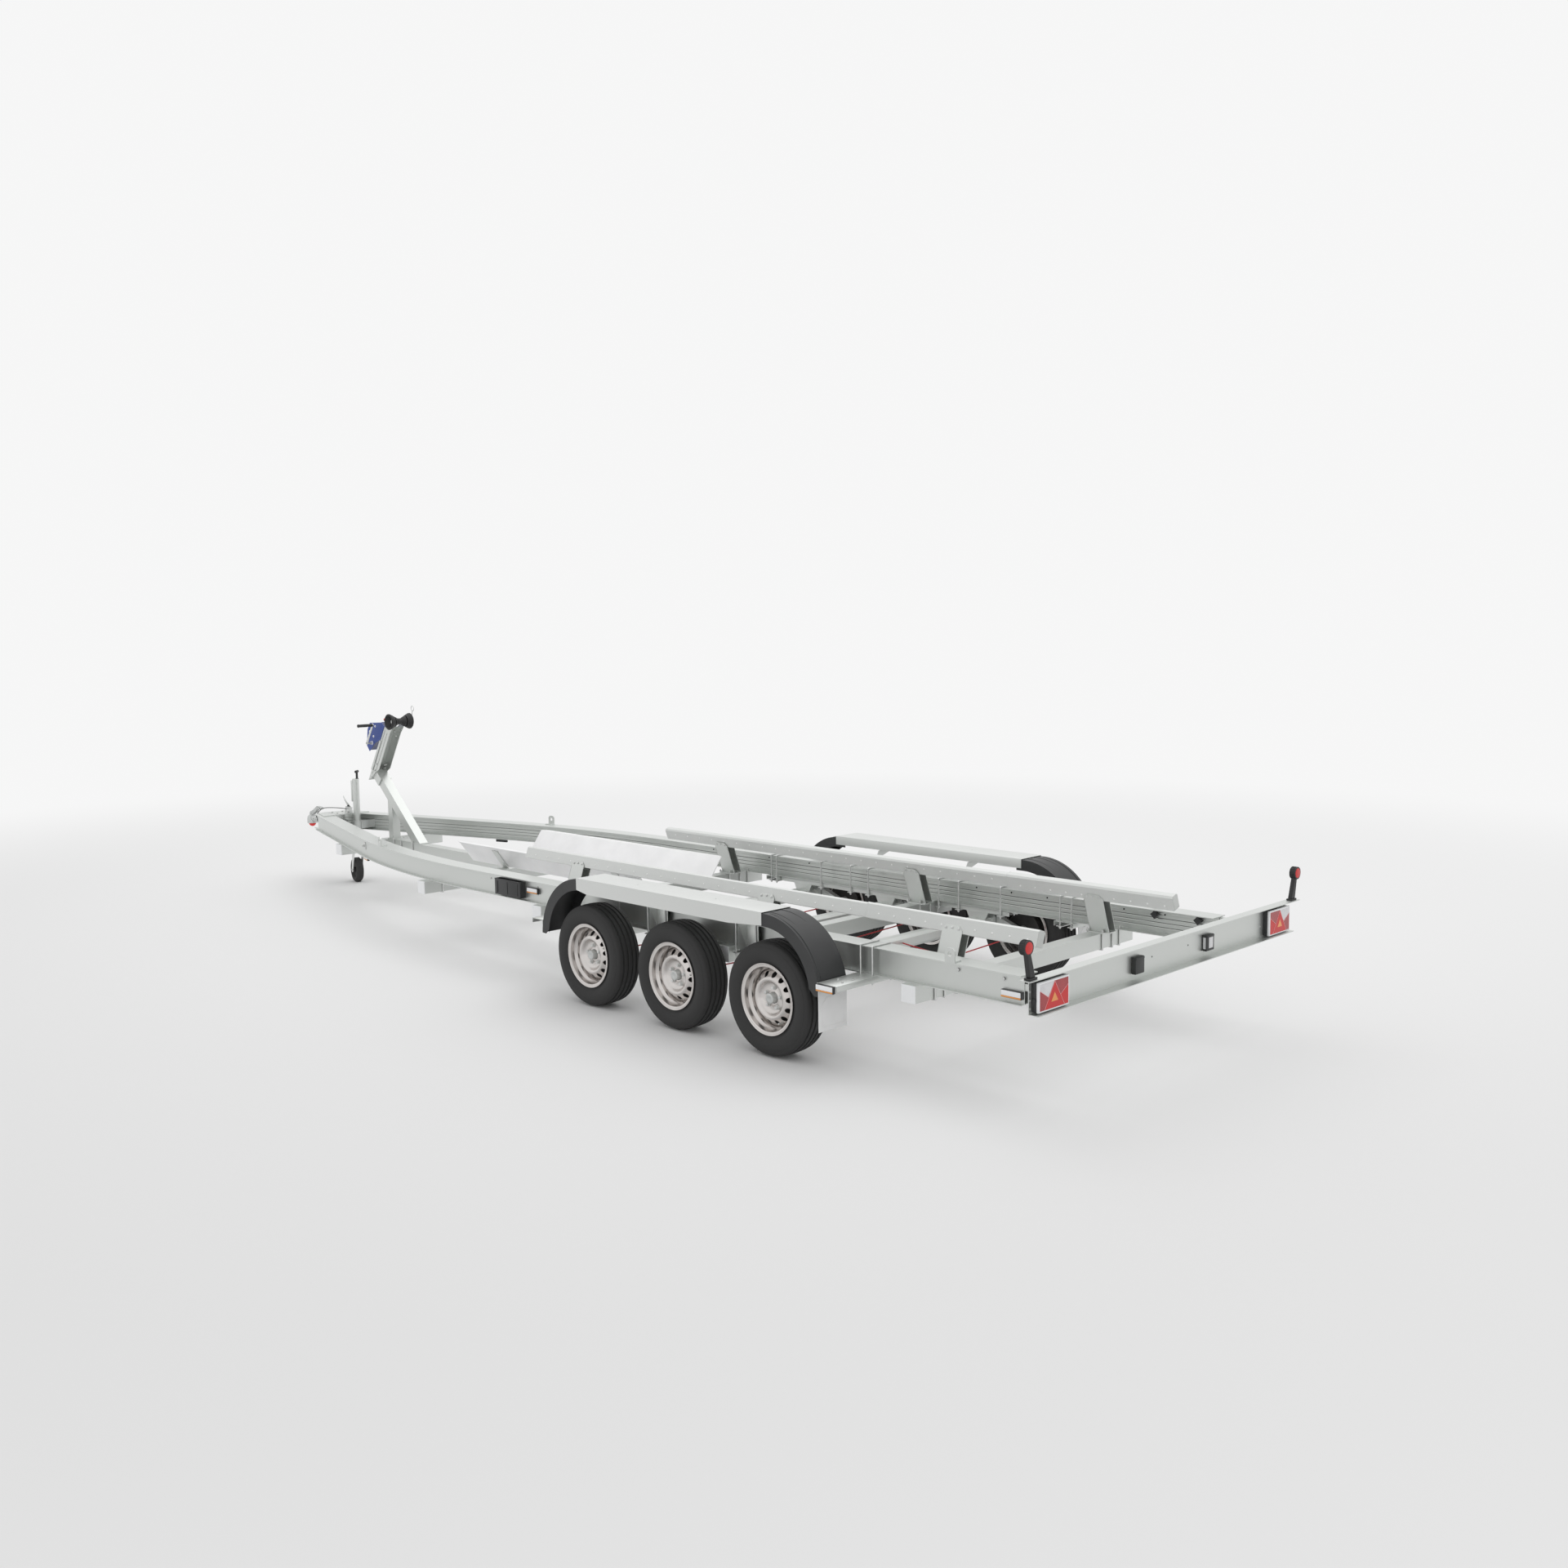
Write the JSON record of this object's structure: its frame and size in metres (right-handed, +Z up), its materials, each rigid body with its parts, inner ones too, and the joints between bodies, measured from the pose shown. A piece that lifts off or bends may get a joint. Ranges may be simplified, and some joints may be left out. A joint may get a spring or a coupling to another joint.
{
  "type": "boat trailer",
  "caption": "Road trailer for a boat: curved twin-beam frame on close-set wheels, tilted bunks, keel guides, winch post with bow roller, jockey wheel and sliding rear light bar.",
  "frame": {"origin": "on the ground, midway along the trailer and on its centreline", "axes": "+X forward towards the coupling, +Y to the trailer's left, +Z up"},
  "size_m": [9.288, 2.6318, 1.652],
  "materials": {
    "galvanised_steel": "matt hot-dip galvanised",
    "aluminium": "satin",
    "zinc_plate": "bright zinc",
    "silver_paint": "silver, satin",
    "cast_iron": "dark, matt",
    "tyre_rubber": "matt black",
    "black_rubber": "matt black",
    "black_plastic": "matt black",
    "white_plastic": "white, satin",
    "clear_flap": "milky, translucent",
    "blue_paint": "blue, gloss",
    "red_plastic": "red, gloss",
    "red_lens": "red lens with clear and orange fields"
  },
  "bodies": {
    "trailer": {"axle_rails": "galvanised_steel", "axle_tubes": "galvanised_steel", "beam_clamps": "zinc_plate", "brake_backplates": "cast_iron", "bunk_posts": "galvanised_steel", "bunks_front": "aluminium", "bunks_rear": "aluminium", "chock_holder": "black_plastic", "coupling_handle": "zinc_plate", "coupling_head": "zinc_plate", "cross_tube_caps": "white_plastic", "cross_tubes": "galvanised_steel", "gaiter": "black_rubber", "guide_brackets": "galvanised_steel", "guide_plates": "aluminium", "hand_grips": "black_plastic", "handbrake_lever": "zinc_plate", "jockey_clamp": "galvanised_steel", "main_beam_left": "galvanised_steel", "main_beam_right": "galvanised_steel", "mud_flaps": "clear_flap", "mudguard_plates": "aluminium", "mudguard_quarters": "black_plastic", "mudguard_stays": "galvanised_steel", "overrun_housing": "galvanised_steel", "ratchet_knob": "red_plastic", "roller_pin": "zinc_plate", "side_markers": "black_plastic", "soft_ball": "red_plastic", "spine_tube": "galvanised_steel", "star_knobs": "black_plastic", "tie_down_eyes": "zinc_plate", "trailing_arms": "galvanised_steel", "winch_bracket": "galvanised_steel", "winch_crank": "zinc_plate", "winch_housing": "blue_paint", "winch_post": "galvanised_steel"},
    "wheel_rear_left": {"tyre_rear_left": "tyre_rubber", "wheel_rim_rear_left": "silver_paint"},
    "wheel_rear_right": {"tyre_rear_right": "tyre_rubber", "wheel_rim_rear_right": "silver_paint"},
    "wheel_middle_left": {"tyre_middle_left": "tyre_rubber", "wheel_rim_middle_left": "silver_paint"},
    "wheel_middle_right": {"tyre_middle_right": "tyre_rubber", "wheel_rim_middle_right": "silver_paint"},
    "wheel_front_left": {"tyre_front_left": "tyre_rubber", "wheel_rim_front_left": "silver_paint"},
    "wheel_front_right": {"tyre_front_right": "tyre_rubber", "wheel_rim_front_right": "silver_paint"},
    "bow_roller": {"bow_roller": "black_rubber"},
    "light_bar": {"light_bar": "galvanised_steel", "light_bar_arms": "galvanised_steel", "tail_lamps": "black_plastic", "tail_lenses": "red_lens", "bar_lamps": "black_rubber"},
    "jockey_tube": {"jockey_tube": "zinc_plate", "jockey_knob": "black_plastic"},
    "jockey_leg": {"jockey_leg": "zinc_plate"},
    "jockey_wheel": {"jockey_wheel": "black_rubber"}
  },
  "joints": [
    {"name": "wheel_rear_left_spin", "type": "hinge", "parent": "trailer", "child": "wheel_rear_left", "pos_m": [-2.906, 1.14, 0.3143], "axis": [0, 1, 0], "continuous": true},
    {"name": "wheel_rear_right_spin", "type": "hinge", "parent": "trailer", "child": "wheel_rear_right", "pos_m": [-2.906, -1.14, 0.3143], "axis": [0, 1, 0], "continuous": true},
    {"name": "wheel_middle_left_spin", "type": "hinge", "parent": "trailer", "child": "wheel_middle_left", "pos_m": [-2.128, 1.14, 0.3143], "axis": [0, 1, 0], "continuous": true},
    {"name": "wheel_middle_right_spin", "type": "hinge", "parent": "trailer", "child": "wheel_middle_right", "pos_m": [-2.128, -1.14, 0.3143], "axis": [0, 1, 0], "continuous": true},
    {"name": "wheel_front_left_spin", "type": "hinge", "parent": "trailer", "child": "wheel_front_left", "pos_m": [-1.35, 1.14, 0.3143], "axis": [0, 1, 0], "continuous": true},
    {"name": "wheel_front_right_spin", "type": "hinge", "parent": "trailer", "child": "wheel_front_right", "pos_m": [-1.35, -1.14, 0.3143], "axis": [0, 1, 0], "continuous": true},
    {"name": "bow_roller_spin", "type": "hinge", "parent": "trailer", "child": "bow_roller", "pos_m": [2.874, 0, 1.52], "axis": [0, 1, 0], "continuous": true},
    {"name": "light_bar_slide", "type": "slide", "parent": "trailer", "child": "light_bar", "axis": [-1, 0, 0], "range_m": [-0.2, 0.3]},
    {"name": "jockey_raise", "type": "slide", "parent": "trailer", "child": "jockey_tube", "axis": [0, 0, 1], "range_m": [-0.1, 0.14]},
    {"name": "jockey_swivel", "type": "hinge", "parent": "jockey_tube", "child": "jockey_leg", "pos_m": [3.794, -0.058, 0.112], "axis": [0, 0, 1], "continuous": true},
    {"name": "jockey_wheel_spin", "type": "hinge", "parent": "jockey_leg", "child": "jockey_wheel", "pos_m": [3.86725, -0.07411, 0.112], "axis": [0.2147, 0.9767, 0], "continuous": true}
  ]
}
